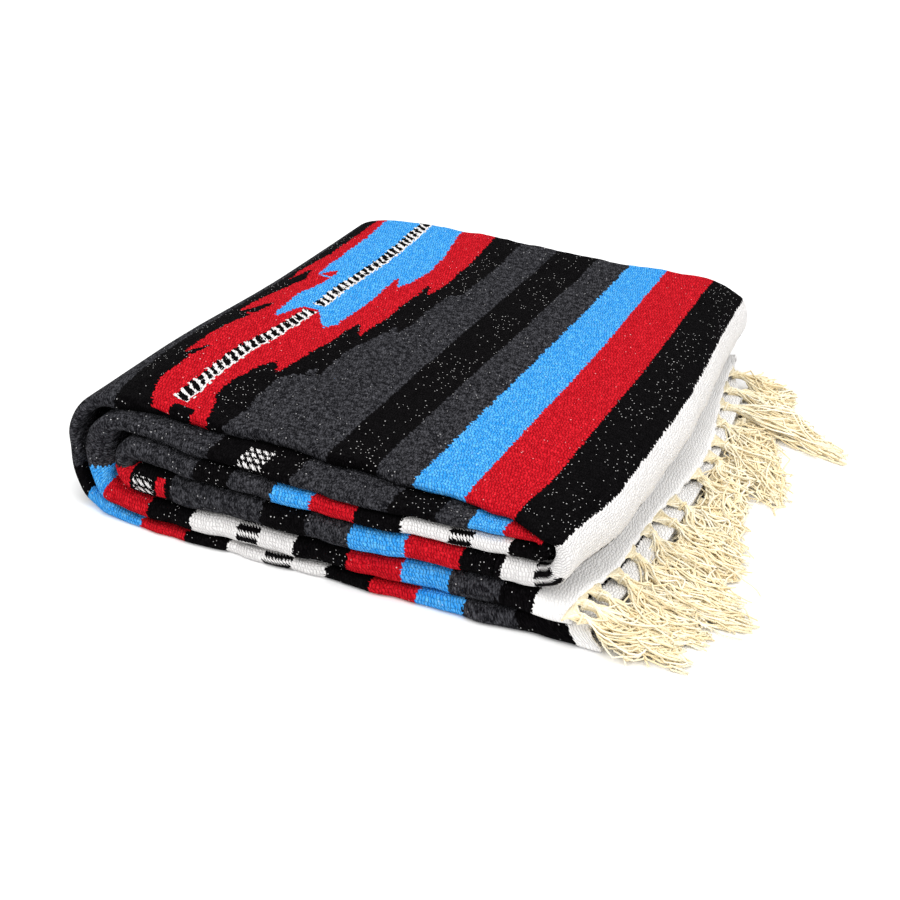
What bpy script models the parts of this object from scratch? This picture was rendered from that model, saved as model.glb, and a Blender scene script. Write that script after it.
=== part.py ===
"""A handwoven serape blanket, folded in four across and in six along, lying on its underside.

The strip of cloth runs from its first fringed end along the floor (ply 6), up round the left end, over the
top (ply 1), down round the right end as the white roll and back in (ply 4). Plies 2 and 3 lie inside that,
and ply 5 comes out under the roll as the end band, where the second fringe hangs.
X runs along the strip, Y across it from front to back, and Z up from the floor.
"""

import math

import bmesh
import bpy

# Driving dimensions, in metres.
CLOTH = 0.003
SEAM_GAP = 0.0003
INNER_GAP = 0.0013
FLOOR_CLEARANCE = 0.0004

# The wrap's two ends, seen from the front: the middle of each turn, its reach, and how square it is.
LEFT_TURN_X = -0.146
LEFT_REACH = 0.0385
LEFT_SQUARENESS = 2.6
RIGHT_TURN_X = 0.129
RIGHT_REACH = 0.0215
RIGHT_SQUARENESS = 2.1
STEP_X = 0.1040
TUCK_X = STEP_X + 0.0004
LEFT_FOLD = 0.0082
BOTTOM_END_X = 0.160

# The band's free edge bows out in the middle of its length.
BAND_EDGE_X = 0.149
BAND_BOW = 0.009
BAND_BOW_Y = 0.035
BAND_BOW_WIDTH = 0.065
BAND_TOP = 0.0197
BAND_EDGE_TOP = 0.0168
BAND_DROOP = 0.0055
BAND_DROOP_X = 0.128
BAND_MIDDLE_Y = 0.008
BAND_HALF_LENGTH = 0.170

# The top sinks a little between these two places, towards the back.
BACK_SINK = 0.0028
FRONT_LEVEL_Y = -0.10
BACK_LEVEL_Y = 0.16

# The right end draws in towards the back: how far, and from where to where along Y and X.
TAPER = 0.0115
TAPER_Y = (-0.02, 0.19)
TAPER_X = (0.120, 0.152)

LIP_ANGLES = (20, 50, 85, 120, 160)
LOBE_ANGLES = (-80, -42, 0, 42, 80)
GROOVE_DEPTH = 0.007
LOBE_EDGE = 0.0003
THINNEST_PLY = 0.0010
CORE_SETBACK = 0.0088
CORE_CORNER = 0.0015
GROOVE_BEHIND = 0.0008

# Where the hidden folds draw back behind the wrap's own, past each turn's middle.
LEFT_DRAW_BACK = (0.012, 0.021)
RIGHT_DRAW_BACK = (0.0, 0.006)

# Heights of the lines between plies, and of the top, at stations along X.
HEIGHTS = {
    "x": (-0.170, -0.120, -0.060, 0.000, 0.050, 0.100, 0.140),
    "between_5_6": (0.0080, 0.0075, 0.0070, 0.0070, 0.0075, 0.0080, 0.0085),
    "between_4_5": (0.0210, 0.0200, 0.0205, 0.0200, 0.0210, 0.0205, 0.0200),
    "between_3_4": (0.0360, 0.0370, 0.0360, 0.0350, 0.0350, 0.0340, 0.0330),
    "between_2_3": (0.0470, 0.0480, 0.0470, 0.0450, 0.0440, 0.0430, 0.0430),
    "between_1_2": (0.0560, 0.0560, 0.0545, 0.0520, 0.0510, 0.0510, 0.0510),
    "top": (0.0645, 0.0640, 0.0620, 0.0605, 0.0600, 0.0595, 0.0585),
}

# How far each ply's fold comes forward, at the same stations.
FRONT = {
    "x": HEIGHTS["x"],
    "ply_1": (-0.160, -0.153, -0.150, -0.151, -0.155, -0.160, -0.172),
    "ply_2": (-0.166, -0.164, -0.166, -0.168, -0.170, -0.171, -0.168),
    "ply_3": (-0.170, -0.172, -0.173, -0.172, -0.174, -0.175, -0.172),
    "ply_4": (-0.174, -0.175, -0.176, -0.177, -0.178, -0.178, -0.177),
    "ply_5": (-0.172, -0.177, -0.179, -0.178, -0.179, -0.180, -0.179),
    "ply_6": (-0.168, -0.178, -0.181, -0.180, -0.179, -0.178, -0.175),
}

# How far each ply's fold goes back.
BACK = {
    "x": HEIGHTS["x"],
    "ply_1": (0.190, 0.198, 0.200, 0.199, 0.200, 0.200, 0.192),
    "ply_2": (0.186, 0.193, 0.196, 0.194, 0.193, 0.195, 0.190),
    "ply_3": (0.190, 0.196, 0.193, 0.197, 0.198, 0.194, 0.188),
    "ply_4": (0.186, 0.191, 0.195, 0.192, 0.190, 0.193, 0.190),
    "ply_5": (0.188, 0.196, 0.198, 0.197, 0.198, 0.196, 0.190),
    "ply_6": (0.184, 0.192, 0.194, 0.196, 0.194, 0.191, 0.188),
}

# Where the fringe's locks lie: the place of the root along the cloth's edge, and the tip of the lock there.
UPPER_LOCKS = {
    "root_y": (
        -0.168, -0.145, -0.118, -0.091, -0.064, -0.037, -0.010, 0.017, 0.044, 0.071, 0.098, 0.125, 0.168,
    ),
    "tip_x": (0.196, 0.208, 0.214, 0.233, 0.207, 0.215, 0.198, 0.195, 0.214, 0.189, 0.212, 0.234, 0.182),
    "tip_y": (
        -0.176, -0.165, -0.144, -0.122, -0.092, -0.068, -0.042, -0.014, 0.013, 0.042, 0.070, 0.094, 0.152,
    ),
}
LOWER_LOCKS = {
    "root_y": (-0.168, -0.120, -0.075, -0.030, 0.020, 0.070, 0.120, 0.165),
    "tip_x": (0.186, 0.190, 0.184, 0.190, 0.186, 0.190, 0.185, 0.188),
    "tip_y": (-0.172, -0.132, -0.090, -0.046, 0.004, 0.052, 0.106, 0.158),
}
UPPER_LOCK_COUNT = 72
LOWER_LOCK_COUNT = 36
LOCKS_IN_A_BUNCH = 6
BUNCHING = 0.35
SHORT_SIDES = 0.16
LOCK_WIDTH = 0.0018
LOCK_FALL = 0.030
LOCK_TAPER = 0.35
LOCK_INSET = 0.0002
LOCK_CURVE = 1.3
LOWER_REST = 0.0014
UPPER_REST = 0.0042
LOWER_END_X = 0.194
LOWER_END_STEP = 0.014
STRIP_DEPTH = 0.0035
STRIP_THICKNESS = 0.0026
LOCK_STEPS = (0.18, 0.42, 0.72, 1.0)

COLOURS = {
    "cloth": ((0.035, 0.035, 0.040, 1.0), 0.95),
    "hidden": ((0.120, 0.015, 0.020, 1.0), 0.95),
    "band": ((0.800, 0.790, 0.760, 1.0), 0.95),
    "fringe": ((0.830, 0.720, 0.480, 1.0), 0.90),
}


def smooth(t):
    t = min(1.0, max(0.0, t))
    return t * t * (3.0 - 2.0 * t)


def ramp(value, start, end):
    """Rises smoothly from 0 at the start to 1 at the end."""
    return smooth((value - start) / (end - start))


def mix(a, b, t):
    return a + (b - a) * t


def along(table, column, place, key="x"):
    """Reads a table's column at a place between its stations, with a smooth step from one to the next."""
    stations, values = table[key], table[column]
    if place <= stations[0]:
        return values[0]
    for k in range(len(stations) - 1):
        if place <= stations[k + 1]:
            return mix(values[k], values[k + 1], ramp(place, stations[k], stations[k + 1]))
    return values[-1]


def settled(points):
    """Lets the cloth sink a little towards the back, by its height, and draws in its right end there."""
    rows = []
    for x, y, z in points:
        sink = BACK_SINK * ramp(y, FRONT_LEVEL_Y, BACK_LEVEL_Y)
        drawn_in = TAPER * ramp(y, *TAPER_Y) * ramp(x, *TAPER_X)
        rows.append((x - drawn_in, y, z * (1.0 - sink / HEIGHTS["top"][0])))
    return rows


def new_object(name, mesh, finish):
    material = bpy.data.materials.new(name + "_finish")
    material.use_nodes = True
    colour, roughness = COLOURS[finish]
    shader = material.node_tree.nodes["Principled BSDF"]
    shader.inputs["Base Color"].default_value = colour
    shader.inputs["Roughness"].default_value = roughness
    mesh.materials.append(material)
    mesh.shade_smooth()
    return bpy.data.objects.new(name, mesh)


def mesh_from(name, bm):
    bmesh.ops.recalc_face_normals(bm, faces=bm.faces)
    mesh = bpy.data.meshes.new(name)
    bm.to_mesh(mesh)
    bm.free()
    return mesh


def loft(name, rings):
    """A closed solid through rings of equal count, with a flat cap at each end."""
    bm = bmesh.new()
    rows = [[bm.verts.new(p) for p in ring] for ring in rings]
    count = len(rows[0])
    for row, following in zip(rows, rows[1:]):
        for k in range(count):
            n = (k + 1) % count
            bm.faces.new((row[k], row[n], following[n], following[k]))
    caps = [bm.faces.new(rows[0]), bm.faces.new(rows[-1])]
    for cap in caps:
        cap.normal_update()
    bmesh.ops.triangulate(bm, faces=caps)
    return mesh_from(name, bm)


def wall(name, outer, inner):
    """A closed wall between two grids of points, joined round their four borders."""
    bm = bmesh.new()
    outer_verts = [[bm.verts.new(p) for p in row] for row in outer]
    inner_verts = [[bm.verts.new(p) for p in row] for row in inner]
    rows, columns = len(outer), len(outer[0])
    for i in range(rows - 1):
        for j in range(columns - 1):
            for grid in (outer_verts, inner_verts):
                bm.faces.new((grid[i][j], grid[i][j + 1], grid[i + 1][j + 1], grid[i + 1][j]))
    border = [(i, 0) for i in range(rows)] + [(rows - 1, j) for j in range(1, columns)]
    border += [(i, columns - 1) for i in range(rows - 2, -1, -1)]
    border += [(0, j) for j in range(columns - 2, 0, -1)]
    for (i, j), (m, n) in zip(border, border[1:] + border[:1]):
        bm.faces.new((outer_verts[i][j], outer_verts[m][n], inner_verts[m][n], inner_verts[i][j]))
    return mesh_from(name, bm)


def turn_point(angle, centre_x, centre_z, reach, half_height, squareness):
    """A point on a rounded, slightly square end, at an angle from its forward direction."""
    power = 2.0 / squareness
    c, s = math.cos(angle), math.sin(angle)
    x = centre_x + math.copysign(abs(c) ** power, c) * reach
    z = centre_z + math.copysign(abs(s) ** power, s) * half_height
    return x, z


def wrap_stations():
    """The outer line of the wrap seen from the front, with the front, back and depth of its folds."""
    rows = []

    def add(x, z, front, back, depth):
        rows.append({"x": x, "z": z, "front": front, "back": back, "depth": depth})

    bottom_steps, top_steps, turn_steps = 7, 10, 12
    for k in range(bottom_steps):
        x = mix(BOTTOM_END_X, LEFT_TURN_X, k / bottom_steps)
        add(x, 0.0, along(FRONT, "ply_6", x), along(BACK, "ply_6", x), along(HEIGHTS, "between_5_6", x))
    half = along(HEIGHTS, "top", LEFT_TURN_X) / 2
    for k in range(turn_steps + 1):
        t = k / turn_steps
        x, z = turn_point(math.radians(-90 - 180 * t), LEFT_TURN_X, half, LEFT_REACH, half, LEFT_SQUARENESS)
        front = mix(along(FRONT, "ply_6", x), along(FRONT, "ply_1", x), smooth(t))
        back = mix(along(BACK, "ply_6", x), along(BACK, "ply_1", x), smooth(t))
        add(x, z, front, back, LEFT_FOLD)
    for k in range(1, top_steps):
        x = mix(LEFT_TURN_X, RIGHT_TURN_X, k / top_steps)
        top = along(HEIGHTS, "top", x)
        depth = top - along(HEIGHTS, "between_1_2", x)
        add(x, top, along(FRONT, "ply_1", x), along(BACK, "ply_1", x), depth)
    top, low = along(HEIGHTS, "top", RIGHT_TURN_X), along(HEIGHTS, "between_4_5", RIGHT_TURN_X)
    top_depth = top - along(HEIGHTS, "between_1_2", RIGHT_TURN_X)
    tuck_depth = along(HEIGHTS, "between_3_4", TUCK_X) - along(HEIGHTS, "between_4_5", TUCK_X)
    for k in range(turn_steps + 1):
        t = k / turn_steps
        angle = math.radians(90 - 180 * t)
        middle_z, half_height = (top + low) / 2, (top - low) / 2
        x, z = turn_point(angle, RIGHT_TURN_X, middle_z, RIGHT_REACH, half_height, RIGHT_SQUARENESS)
        front = mix(along(FRONT, "ply_1", x), along(FRONT, "ply_4", x), smooth(t))
        back = mix(along(BACK, "ply_1", x), along(BACK, "ply_4", x), smooth(t))
        add(x, z, front, back, mix(top_depth, tuck_depth, smooth(t)))
    low = along(HEIGHTS, "between_4_5", TUCK_X)
    add(TUCK_X, low, along(FRONT, "ply_4", TUCK_X), along(BACK, "ply_4", TUCK_X), tuck_depth)
    return rows


def fold_profile(front, back, depth, middle_steps=12):
    """Points across the cloth, as y and depth below its outer face, for its outer face and its inner face."""
    radius = depth / 2
    inner_radius = radius - CLOTH
    outer, inner = [], []
    for angle in reversed(LIP_ANGLES):
        a = math.radians(angle)
        outer.append((front + radius - radius * math.sin(a), radius - radius * math.cos(a)))
        inner.append((front + radius - inner_radius * math.sin(a), radius - inner_radius * math.cos(a)))
    for k in range(middle_steps + 1):
        y = mix(front + radius, back - radius, k / middle_steps)
        outer.append((y, 0.0))
        inner.append((y, CLOTH))
    for angle in LIP_ANGLES:
        a = math.radians(angle)
        outer.append((back - radius + radius * math.sin(a), radius - radius * math.cos(a)))
        inner.append((back - radius + inner_radius * math.sin(a), radius - inner_radius * math.cos(a)))
    return outer, inner


def outer_wrap():
    """The stretch of cloth that shows most: floor, left end, top, and the roll at the right end."""
    rows = wrap_stations()
    outer, inner = [], []
    for k, row in enumerate(rows):
        before, after = rows[max(k - 1, 0)], rows[min(k + 1, len(rows) - 1)]
        dx, dz = after["x"] - before["x"], after["z"] - before["z"]
        size = math.hypot(dx, dz)
        inward_x, inward_z = dz / size, -dx / size
        outer_profile, inner_profile = fold_profile(row["front"], row["back"], row["depth"])
        for grid, profile in ((outer, outer_profile), (inner, inner_profile)):
            grid.append(settled([(row["x"] + inward_x * d, y, row["z"] + inward_z * d) for y, d in profile]))
    return new_object("outer_wrap", wall("outer_wrap", outer, inner), "cloth")


def lobe(front, low, high, side):
    """The rounded edge of one ply, from its upper groove to its lower one, on the front or on the back."""
    half = (high - low) / 2 - LOBE_EDGE
    reach = min(GROOVE_DEPTH, 1.1 * half)
    edge = math.sin(math.radians(LOBE_ANGLES[-1]))
    points = []
    for angle in reversed(LOBE_ANGLES):
        a = math.radians(angle)
        y = front + side * (GROOVE_DEPTH - reach * math.cos(a))
        points.append((y, (high + low) / 2 + half * math.sin(a) / edge))
    return points


def spaced(levels):
    """Keeps each ply at least its thinnest, working out from the middle of the stack."""
    middle = len(levels) // 2
    levels = list(levels)
    for k in range(middle - 1, -1, -1):
        levels[k] = max(levels[k], levels[k + 1] + THINNEST_PLY)
    for k in range(middle + 1, len(levels)):
        levels[k] = min(levels[k], levels[k - 1] - THINNEST_PLY)
    return levels


def turned(levels, x, centre_z, half_height, turn_x, reach, squareness, direction):
    """Carries the lines between plies round the nested turns at one end of the bundle."""
    past = (x - turn_x) * direction
    if past <= 0.0:
        return levels
    result = []
    for z in levels:
        share = max(0.02, abs(z - centre_z) / half_height)
        t = min(1.0, past / (reach * share))
        result.append(centre_z + (z - centre_z) * (1.0 - t ** squareness) ** (1.0 / squareness))
    return spaced(result)


def stack_ring(x, levels, plies, upper_cover, lower_cover, hidden, across=6):
    """One ring round a stack of plies: down its front folds, along its base, up its back folds, and over.

    Near the ends of the bundle the folds draw back behind the wrap's own, as far as hidden says, from 0 to 1.
    """
    sides = []
    for side, table in ((1.0, FRONT), (-1.0, BACK)):
        upper_y = along(table, upper_cover, x) + side * CORE_SETBACK
        lower_y = along(table, lower_cover, x) + side * CORE_SETBACK
        points = [(upper_y, levels[0]), (upper_y + side * CORE_CORNER, levels[1])]
        edges = [mix(along(table, ply, x), upper_y, hidden) for ply in plies]
        for k, y in enumerate(edges):
            points += lobe(y, levels[k + 2], levels[k + 1], side)
            if k + 1 < len(edges):
                deeper = max(y, edges[k + 1]) if side > 0 else min(y, edges[k + 1])
                points.append((deeper + side * (GROOVE_DEPTH + GROOVE_BEHIND), levels[k + 2]))
        points += [(lower_y + side * CORE_CORNER, levels[-2]), (lower_y, levels[-1])]
        sides.append(points)
    front, back = sides
    base = [(mix(front[-1][0], back[-1][0], k / across), levels[-1]) for k in range(1, across)]
    over = [(mix(back[0][0], front[0][0], k / across), levels[0]) for k in range(1, across)]
    return settled([(x, y, z) for y, z in front + base + back[::-1] + over])


def core_levels(x):
    return [
        along(HEIGHTS, "top", x) - CLOTH - INNER_GAP,
        along(HEIGHTS, "between_1_2", x) - SEAM_GAP,
        along(HEIGHTS, "between_2_3", x),
        along(HEIGHTS, "between_3_4", x),
        along(HEIGHTS, "between_4_5", x),
        along(HEIGHTS, "between_5_6", x) + SEAM_GAP,
        CLOTH + INNER_GAP,
    ]


def core_rings():
    """Plies 2 to 5, from their nested turns at the left to the step under the roll."""
    half = along(HEIGHTS, "top", LEFT_TURN_X) / 2
    inner = CLOTH + INNER_GAP
    places = [LEFT_TURN_X - (LEFT_REACH - inner) * t for t in (0.96, 0.88, 0.76, 0.62, 0.46, 0.3, 0.15)]
    places += [mix(LEFT_TURN_X, STEP_X, k / 12) for k in range(13)]
    rings = []
    for x in places:
        levels = turned(
            core_levels(x), x, half, half - inner, LEFT_TURN_X, LEFT_REACH - inner, LEFT_SQUARENESS, -1.0
        )
        hidden = ramp(LEFT_TURN_X - x, *LEFT_DRAW_BACK)
        rings.append(stack_ring(x, levels, ("ply_2", "ply_3", "ply_4", "ply_5"), "ply_1", "ply_6", hidden))
    return rings


def roll_core_rings():
    """Plies 2 and 3 inside the roll, down to the cloth that tucks back in under ply 4."""
    top, low = along(HEIGHTS, "top", RIGHT_TURN_X), along(HEIGHTS, "between_4_5", RIGHT_TURN_X)
    inner = CLOTH + INNER_GAP
    reach = RIGHT_REACH - inner
    places = [STEP_X - 0.002, mix(STEP_X, RIGHT_TURN_X, 0.5), RIGHT_TURN_X]
    places += [RIGHT_TURN_X + reach * t for t in (0.25, 0.5, 0.7, 0.84, 0.94)]
    rings = []
    for x in places:
        levels = core_levels(x)[:4] + [max(low, along(HEIGHTS, "between_4_5", x)) + inner]
        levels[3] += SEAM_GAP
        levels = turned(
            levels, x, (top + low) / 2, (top - low) / 2 - inner, RIGHT_TURN_X, reach, RIGHT_SQUARENESS, 1.0
        )
        hidden = ramp(x - RIGHT_TURN_X, *RIGHT_DRAW_BACK)
        rings.append(stack_ring(x, levels, ("ply_2", "ply_3"), "ply_1", "ply_4", hidden))
    return rings


def band_edge_x(y):
    return BAND_EDGE_X + BAND_BOW * math.exp(-(((y - BAND_BOW_Y) / BAND_BOW_WIDTH) ** 2))


def band_place(u, y):
    """The end band's outer face: its X, for a share of the way from the step to its free edge, and its Z."""
    x = mix(TUCK_X, band_edge_x(y), u)
    level = mix(BAND_TOP, BAND_EDGE_TOP, smooth(u))
    towards_side = min(1.0, abs(y - BAND_MIDDLE_Y) / BAND_HALF_LENGTH)
    droop = BAND_DROOP * ramp(x, BAND_DROOP_X, BAND_EDGE_X) * (1.0 - towards_side ** 4)
    return x, level - droop


def band_core_rings():
    """The plies under the end band, which thin out towards its free edge."""
    rings = []
    for u in (-0.04, 0.02, 0.25, 0.5, 0.68, 0.84, 0.98):
        upper, lower = [], []
        place = mix(TUCK_X, BAND_EDGE_X, u)
        front = max(along(FRONT, ply, place) for ply in ("ply_5", "ply_6")) + CORE_SETBACK
        back = min(along(BACK, ply, place) for ply in ("ply_5", "ply_6")) - CORE_SETBACK
        for k in range(9):
            y = mix(front, back, k / 8)
            x, z = band_place(u, y)
            upper.append((x, y, z - CLOTH - INNER_GAP))
            lower.append((x, y, CLOTH + SEAM_GAP))
        rings.append(settled(upper + lower[::-1]))
    return rings


def hidden_layers(cutters):
    """One rounded solid for all the hidden layers, with a rounded edge for each ply."""
    shell = new_object("hidden_layers", loft("hidden_layers", core_rings()), "hidden")
    for name, rings in (("roll_core", roll_core_rings()), ("band_core", band_core_rings())):
        core = bpy.data.objects.new(name, loft(name, rings))
        core.hide_render = True
        core.display_type = "WIRE"
        cutters.objects.link(core)
        union = shell.modifiers.new(name, "BOOLEAN")
        union.operation = "UNION"
        union.solver = "EXACT"
        union.object = core
    return shell


def end_band():
    """The white end of ply 5, from the step under the roll to the edge that carries the upper fringe."""
    outer, inner = [], []
    for u in (0.0, 0.25, 0.5, 0.68, 0.84, 1.0):
        x = mix(TUCK_X, BAND_EDGE_X, u)
        depth = mix(BAND_TOP, BAND_EDGE_TOP, smooth(u)) - along(HEIGHTS, "between_5_6", x) - SEAM_GAP
        profiles = fold_profile(along(FRONT, "ply_5", x), along(BACK, "ply_5", x), depth)
        for grid, profile in zip((outer, inner), profiles):
            line = []
            for y, d in profile:
                place_x, place_z = band_place(u, y)
                line.append((place_x, y, place_z - d))
            grid.append(settled(line))
    return new_object("end_band", wall("end_band", outer, inner), "band")


def linear(table, column, place):
    """Reads a table's column in straight steps, so that neighbouring locks never cross."""
    stations, values = table["root_y"], table[column]
    for k in range(len(stations) - 1):
        if place <= stations[k + 1]:
            return mix(values[k], values[k + 1], (place - stations[k]) / (stations[k + 1] - stations[k]))
    return values[-1]


def fringe(name, table, count, root_place, resting_height):
    """A narrow strip along the cloth's edge, with locks of four sides drawn out of its outer face."""
    first, last = table["root_y"][0], table["root_y"][-1]
    bm = bmesh.new()
    backs, tops = [], []
    for k in range(count + 1):
        y = mix(first, last, k / count)
        x, z = root_place(y)
        x += SEAM_GAP
        outer = x + STRIP_DEPTH
        backs.append([bm.verts.new(p) for p in ((x, y, z - STRIP_THICKNESS), (x, y, z))])
        tops.append([bm.verts.new(p) for p in ((outer, y, z - STRIP_THICKNESS), (outer, y, z))])
    for k in range(count):
        b, n, t, u = backs[k], backs[k + 1], tops[k], tops[k + 1]
        bm.faces.new((b[0], b[1], n[1], n[0]))
        bm.faces.new((b[1], t[1], u[1], n[1]))
        bm.faces.new((b[0], n[0], u[0], t[0]))
        y = mix(first, last, (k + 0.5) / count)
        face = bm.faces.new((t[0], u[0], u[1], t[1]))
        draw_lock(bm, face, y, table, resting_height, first, last, count)
    bm.faces.new((backs[0][0], tops[0][0], tops[0][1], backs[0][1]))
    bm.faces.new((backs[-1][0], backs[-1][1], tops[-1][1], tops[-1][0]))
    return new_object(name, mesh_from(name, bm), "fringe")


def draw_lock(bm, face, root_y, table, resting_height, first, last, count):
    """Insets one face of the strip and extrudes it along a lock's route to its tip."""
    centre = face.calc_center_median()
    bunch = (last - first) / (count / LOCKS_IN_A_BUNCH)
    phase = ((root_y - first) / bunch) % 1.0
    shortened = 1.0 - SHORT_SIDES * (2.0 * phase - 1.0) ** 2
    tip_x = mix(centre.x, along(table, "tip_x", root_y, "root_y"), shortened)
    tip_y = linear(table, "tip_y", root_y)
    pull = -BUNCHING * math.sin(2.0 * math.pi * (phase - 0.5)) * bunch / (2.0 * math.pi)
    corners = list(face.verts)
    bm.faces.remove(face)
    signs = [(-1, -1), (1, -1), (1, 1), (-1, 1)]
    half = LOCK_WIDTH / 2
    rows = [corners]
    for step in (0.0,) + LOCK_STEPS:
        x = mix(centre.x + LOCK_INSET, tip_x, step)
        y = mix(root_y, tip_y, step ** LOCK_CURVE) + pull * ramp(step, 0.0, 0.6)
        z = mix(centre.z, resting_height(x), ramp(x - centre.x, 0.0, LOCK_FALL))
        width = half * (1.0 - LOCK_TAPER * step)
        rows.append([bm.verts.new((x, y + sy * width, z + sz * width)) for sy, sz in signs])
    for row, following in zip(rows, rows[1:]):
        for k in range(4):
            n = (k + 1) % 4
            bm.faces.new((row[k], row[n], following[n], following[k]))
    bm.faces.new(rows[-1])


def upper_root(y):
    """The upper strip's inner edge: just past the band's free edge, level with its outer face."""
    x, z = band_place(1.0, y)
    drawn_x, _, settled_z = settled([(x, y, z)])[0]
    return drawn_x, settled_z


def lower_root(y):
    return settled([(BOTTOM_END_X, y, 0.0)])[0][0], FLOOR_CLEARANCE + STRIP_THICKNESS


def upper_rest(x):
    """The upper locks lie over the lower ones, then come down to the floor."""
    return mix(UPPER_REST, LOWER_REST, ramp(x, LOWER_END_X, LOWER_END_X + LOWER_END_STEP))


def lower_rest(x):
    return LOWER_REST


def main():
    for item in list(bpy.data.objects):
        bpy.data.objects.remove(item, do_unlink=True)
    blanket = bpy.data.collections.new("folded_serape")
    cutters = bpy.data.collections.new("unions")
    for collection in (blanket, cutters):
        bpy.context.scene.collection.children.link(collection)
    pieces = [
        outer_wrap(),
        hidden_layers(cutters),
        end_band(),
        fringe("upper_fringe", UPPER_LOCKS, UPPER_LOCK_COUNT, upper_root, upper_rest),
        fringe("lower_fringe", LOWER_LOCKS, LOWER_LOCK_COUNT, lower_root, lower_rest),
    ]
    for piece in pieces:
        blanket.objects.link(piece)


main()
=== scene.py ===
# A handwoven serape blanket, folded and lying on its underside: the looks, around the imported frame.
import bpy
import math
import numpy as np
from functools import partial, reduce
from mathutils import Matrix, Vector


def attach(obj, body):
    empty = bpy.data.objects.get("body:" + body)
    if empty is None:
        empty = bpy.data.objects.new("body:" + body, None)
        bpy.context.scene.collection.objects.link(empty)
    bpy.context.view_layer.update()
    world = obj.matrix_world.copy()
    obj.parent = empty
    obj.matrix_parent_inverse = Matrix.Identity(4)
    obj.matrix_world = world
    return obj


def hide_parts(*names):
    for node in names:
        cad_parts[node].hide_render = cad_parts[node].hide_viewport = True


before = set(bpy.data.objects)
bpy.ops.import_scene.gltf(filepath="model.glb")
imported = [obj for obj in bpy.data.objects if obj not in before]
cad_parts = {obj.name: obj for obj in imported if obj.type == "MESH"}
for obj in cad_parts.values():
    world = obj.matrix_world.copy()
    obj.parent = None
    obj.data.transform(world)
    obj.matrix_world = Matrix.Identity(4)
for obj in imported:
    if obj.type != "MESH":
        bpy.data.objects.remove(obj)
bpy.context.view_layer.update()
print("frame loaded:", sorted(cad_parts))

# Camera, at the photo's angle
camera = {
    "place": (0.3648, -0.7608, 0.48),
    "tilt": 59.95,  # degrees down from level, as Blender turns it
    "turn": 26.2,
    "lens": 58.76,
    "sensor": 36.0,
}
cameraData = bpy.data.cameras.new("camera")
cameraData.lens = camera["lens"]
cameraData.sensor_width = camera["sensor"]
cameraObject = bpy.data.objects.new("camera", cameraData)
cameraObject.location = camera["place"]
cameraObject.rotation_euler = (math.radians(camera["tilt"]), 0, math.radians(camera["turn"]))
bpy.context.scene.collection.objects.link(cameraObject)
bpy.context.scene.camera = cameraObject

# The folded bundle: lines between plies and the front and back of each, at stations along X, in metres
bundle = {
    "x": (-0.170, -0.120, -0.060, 0.000, 0.050, 0.100, 0.140),
    "between56": (0.0070, 0.0045, 0.0058, 0.0064, 0.0072, 0.0080, 0.0088),
    "between45": (0.0200, 0.0168, 0.0192, 0.0200, 0.0212, 0.0210, 0.0203),
    "between34": (0.0355, 0.0352, 0.0358, 0.0354, 0.0356, 0.0346, 0.0336),
    "between23": (0.0470, 0.0480, 0.0472, 0.0456, 0.0448, 0.0438, 0.0438),
    "between12": (0.0560, 0.0562, 0.0552, 0.0530, 0.0522, 0.0518, 0.0514),
    "top": (0.0642, 0.0640, 0.0622, 0.0605, 0.0600, 0.0598, 0.0592),
    "front1": (-0.157, -0.149, -0.144, -0.145, -0.149, -0.155, -0.169),
    "front2": (-0.166, -0.164, -0.166, -0.168, -0.169, -0.169, -0.165),
    "front3": (-0.170, -0.172, -0.173, -0.172, -0.173, -0.173, -0.169),
    "front4": (-0.175, -0.177, -0.177, -0.177, -0.177, -0.177, -0.175),
    "front5": (-0.176, -0.1805, -0.180, -0.178, -0.178, -0.178, -0.176),
    "front6": (-0.1775, -0.183, -0.182, -0.180, -0.179, -0.178, -0.175),
    "back1": (0.190, 0.198, 0.200, 0.199, 0.200, 0.203, 0.186),
    "back2": (0.186, 0.193, 0.196, 0.194, 0.193, 0.195, 0.190),
    "back3": (0.190, 0.196, 0.193, 0.197, 0.198, 0.194, 0.188),
    "back4": (0.186, 0.191, 0.195, 0.192, 0.190, 0.193, 0.190),
    "back5": (0.188, 0.196, 0.198, 0.197, 0.198, 0.196, 0.190),
    "back6": (0.184, 0.192, 0.194, 0.196, 0.194, 0.191, 0.188),
    "backSink": 0.0028,
    "sinkFrom": -0.10,
    "sinkTo": 0.16,
}
# How far the right end draws in, towards the back and at the front, and the left end near the floor: each
# pull comes in over its own X, Y and Z
tapers = (
    {"pull": 0.0050, "x": (0.040, 0.080), "y": (0.00, 0.19), "z": (-0.002, -0.001)},
    {"pull": 0.0100, "x": (0.120, 0.152), "y": (-0.02, 0.19), "z": (-0.002, -0.001)},
    {"pull": 0.0078, "x": (0.070, 0.145), "y": (-0.100, -0.168), "z": (0.003, 0.010)},
    {"pull": -0.0032, "x": (-0.150, -0.183), "y": (0.120, -0.100), "z": (0.030, 0.006)},
)

# At the front right the layers between floor and top lie a little higher and further back
corner = {
    "x": (0.000, 0.110), "y": (-0.090, -0.165), "z": (0.002, 0.016), "zEnd": (0.046, 0.060),
    "lift": 0.0045, "back": 0.0045,
}
# At the front left the top stands up over its turn
leftRise = {"x": (-0.100, -0.150), "y": (0.070, -0.080), "share": 0.086}


def smooth(t):
    t = np.clip(t, 0.0, 1.0)
    return t * t * (3.0 - 2.0 * t)


def ramp(value, start, end):
    return smooth((np.asarray(value, float) - start) / (end - start))


def blend(a, b, t):
    return a + (b - a) * t


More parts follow.
